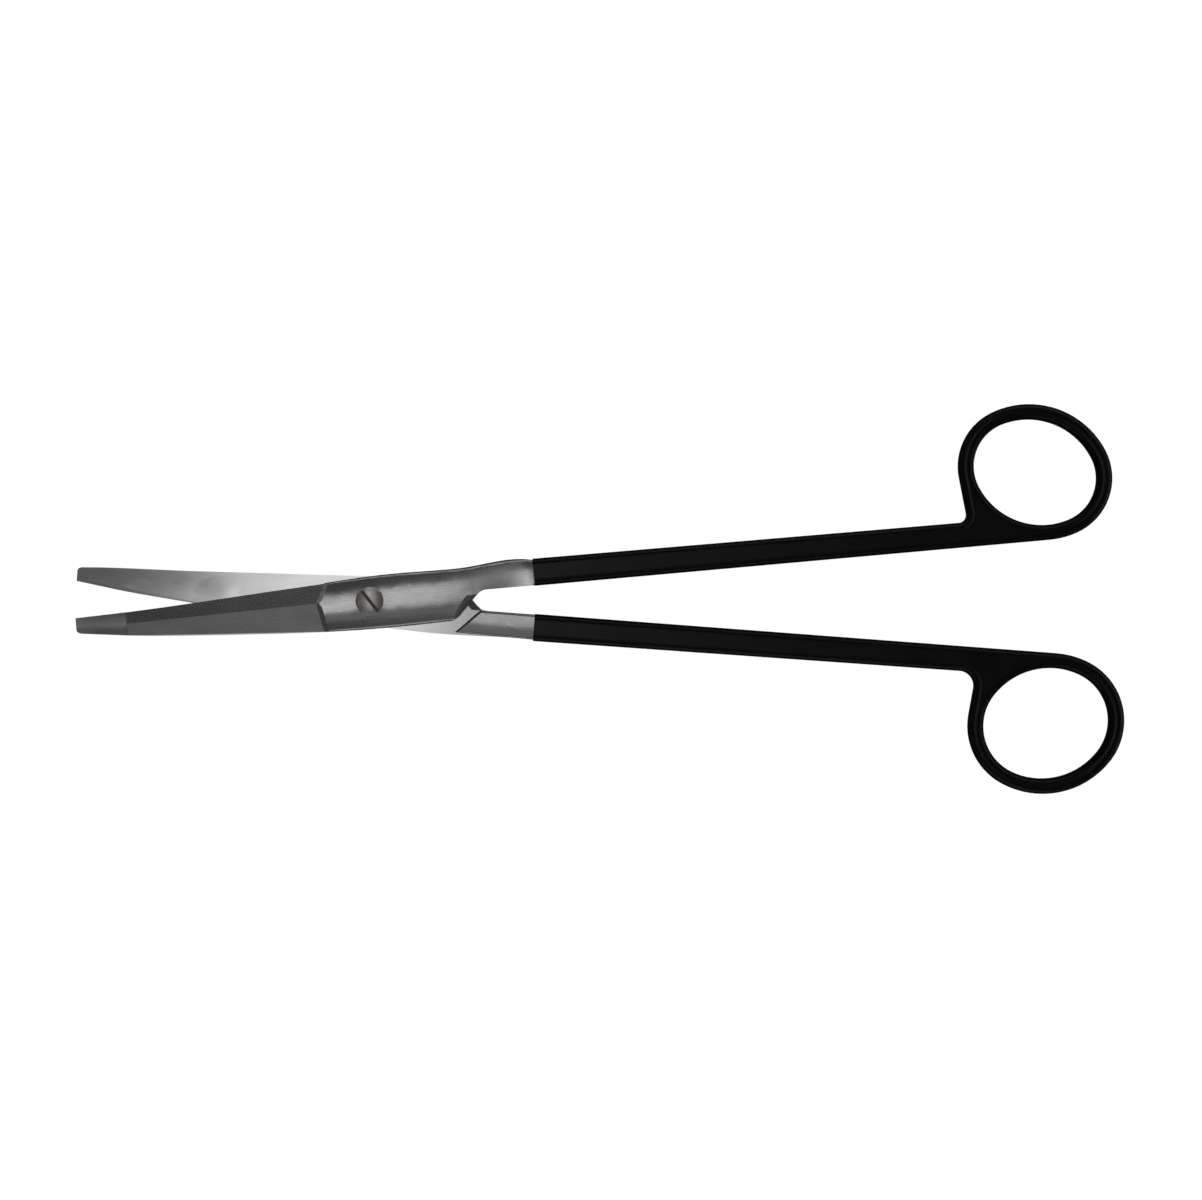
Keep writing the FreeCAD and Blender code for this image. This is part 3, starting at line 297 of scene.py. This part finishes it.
def makeFloor():
    bpy.ops.mesh.primitive_plane_add(size=floor["size"], location=(0, 0, floor["height"]))
    plane = bpy.context.object
    plane.name = "floor"
    material, tree, output = newMaterial("paleFloor")
    links = tree.links
    diffuse = addNode(tree, "ShaderNodeBsdfDiffuse")
    diffuse.inputs["Color"].default_value = (*floor["tone"], 1)
    glow = addNode(tree, "ShaderNodeEmission")
    links.new(mathNode(tree, "MULTIPLY", seenDirectly(tree), floor["glow"]), glow.inputs["Strength"])
    both = addNode(tree, "ShaderNodeAddShader")
    links.new(diffuse.outputs["BSDF"], both.inputs[0])
    links.new(glow.outputs["Emission"], both.inputs[1])
    links.new(both.outputs["Shader"], output.inputs["Surface"])
    plane.data.materials.append(material)


makeFloor()


# World: white where it is seen, grey as light

world = {
    "seen": 1.0,
    "light": 0.4,
}


def makeWorld():
    surround = bpy.data.worlds.new("surround")
    bpy.context.scene.world = surround
    surround.use_nodes = True
    tree = surround.node_tree
    tree.nodes.clear()
    output = addNode(tree, "ShaderNodeOutputWorld")
    background = addNode(tree, "ShaderNodeBackground")
    background.inputs["Color"].default_value = (1, 1, 1, 1)
    tree.links.new(mappedRange(tree, seenDirectly(tree), 0, 1, world["light"], world["seen"]),
                   background.inputs["Strength"])
    tree.links.new(background.outputs["Background"], output.inputs["Surface"])


makeWorld()


# Tent of flags: dark cloth, so that crowned steel falls off to dark at its edges, over a low pale band that
# lights the steel a little in low views; dark gaps in the band face the upper shoulder and the box end

tent = {
    "sides": 72,
    "rings": ((0.75, 0.03), (0.665, 0.28), (0.5, 1.0)),  # radius and height
    "darkGaps": ((105, 235), (290, 335)),  # degrees round from +X
    "cloths": {
        "darkCloth": ((0.05, 0.05, 0.055), 0.05),
        "paleCloth": ((0.5, 0.5, 0.5), 0.34),
    },
}


def glowingCloth(name, tone, glow):
    material, tree, output = newMaterial(name)
    diffuse = addNode(tree, "ShaderNodeBsdfDiffuse")
    diffuse.inputs["Color"].default_value = (*tone, 1)
    shine = addNode(tree, "ShaderNodeEmission")
    shine.inputs["Strength"].default_value = glow
    both = addNode(tree, "ShaderNodeAddShader")
    tree.links.new(diffuse.outputs["BSDF"], both.inputs[0])
    tree.links.new(shine.outputs["Emission"], both.inputs[1])
    tree.links.new(both.outputs["Shader"], output.inputs["Surface"])
    return material


def makeTent():
    mesh = bpy.data.meshes.new("tent")
    corners, faces, cloths = [], [], []
    count = tent["sides"]
    for radius, height in tent["rings"]:
        for index in range(count):
            angle = 2 * math.pi * index / count
            corners.append((radius * math.cos(angle), radius * math.sin(angle), height))
    for level in range(len(tent["rings"]) - 1):
        for index in range(count):
            following = (index + 1) % count
            low, high = level * count, (level + 1) * count
            faces.append((low + index, low + following, high + following, high + index))
            middle = 360 * (index + 0.5) / count
            gap = any(first < middle < last for first, last in tent["darkGaps"])
            cloths.append(0 if level > 0 or gap else 1)
    lid = (len(tent["rings"]) - 1) * count
    faces.append(tuple(range(lid, lid + count)))
    cloths.append(0)
    mesh.from_pydata(corners, [], faces)
    for name, (tone, glow) in tent["cloths"].items():
        mesh.materials.append(glowingCloth(name, tone, glow))
    for face, cloth in zip(mesh.polygons, cloths):
        face.material_index = cloth
    flags = bpy.data.objects.new("tent", mesh)
    bpy.context.scene.collection.objects.link(flags)
    flags.visible_camera = False


makeTent()


# Dark card under the object: only reflections see it, so the lower edges of the steel stay dark

card = {
    "width": 0.56,
    "depth": 0.34,
    "centre": (-0.02, 0),
    "height": -0.00005,
    "tone": (0.03, 0.03, 0.03),
    "glow": 0.02,
}


def makeCard():
    across, along = card["centre"]
    bpy.ops.mesh.primitive_plane_add(size=1, location=(across, along, card["height"]))
    plane = bpy.context.object
    plane.name = "card"
    plane.scale = (card["width"], card["depth"], 1)
    plane.data.materials.append(glowingCloth("cardCloth", card["tone"], card["glow"]))
    plane.visible_camera = False
    plane.visible_diffuse = False
    plane.visible_shadow = False


makeCard()
print("floor, world and flags made")


# Lamps: name, place, aim point, width along X, depth along Y, brightness of its face

lamps = {
    "softbox": ((-0.097, 0.09, 0.9), (-0.097, 0.09, 0), 0.110, 0.64, 1.5),
    "softboxLeft": ((-0.177, 0.08, 0.9), (-0.177, 0.08, 0), 0.05, 0.56, 0.2),
    "softboxRight": ((0.015, 0.08, 0.9), (0.015, 0.08, 0), 0.114, 0.62, 0.5),
    "tipPanel": ((-0.37, -0.02, 0.88), (-0.06, 0, 0), 0.16, 0.3, 0.13),
    "fill": ((-0.02, -0.3, 0.55), (0, 0, 0), 0.4, 0.13, 0.17),
}


def makeLamps():
    for name, (place, aim, width, depth, brightness) in lamps.items():
        data = bpy.data.lights.new(name, "AREA")
        data.shape = "RECTANGLE"
        data.size = width
        data.size_y = depth
        data.energy = brightness * math.pi * width * depth
        lamp = bpy.data.objects.new(name, data)
        bpy.context.scene.collection.objects.link(lamp)
        lamp.location = place
        direction = lamp.location.copy()
        direction.x, direction.y, direction.z = (a - p for a, p in zip(aim, place))
        lamp.rotation_euler = direction.to_track_quat("-Z", "Y").to_euler()
        lamp.visible_camera = False


makeLamps()


# Camera straight above, turned a touch as the photograph is

camera = {
    "height": 0.6,
    "subjectHeight": 0.003,
    "pictureWidth": 0.26095,
    "centre": (0.0500, 0.00022),
    "roll": 0.4,
    "sensor": 36.0,
}


def makeCamera():
    data = bpy.data.cameras.new("camera")
    data.sensor_fit = "HORIZONTAL"
    data.sensor_width = camera["sensor"]
    data.lens = camera["sensor"] * camera["height"] / camera["pictureWidth"]
    viewer = bpy.data.objects.new("camera", data)
    bpy.context.scene.collection.objects.link(viewer)
    turn = math.radians(camera["roll"])
    across, up = camera["centre"]
    viewer.location = (across * math.cos(turn) + up * math.sin(turn),
                       up * math.cos(turn) - across * math.sin(turn),
                       camera["height"] + camera["subjectHeight"])
    viewer.rotation_euler = (0, 0, -turn)
    bpy.context.scene.camera = viewer


makeCamera()
bpy.context.scene.view_settings.view_transform = "Standard"
print("lamps and camera placed")
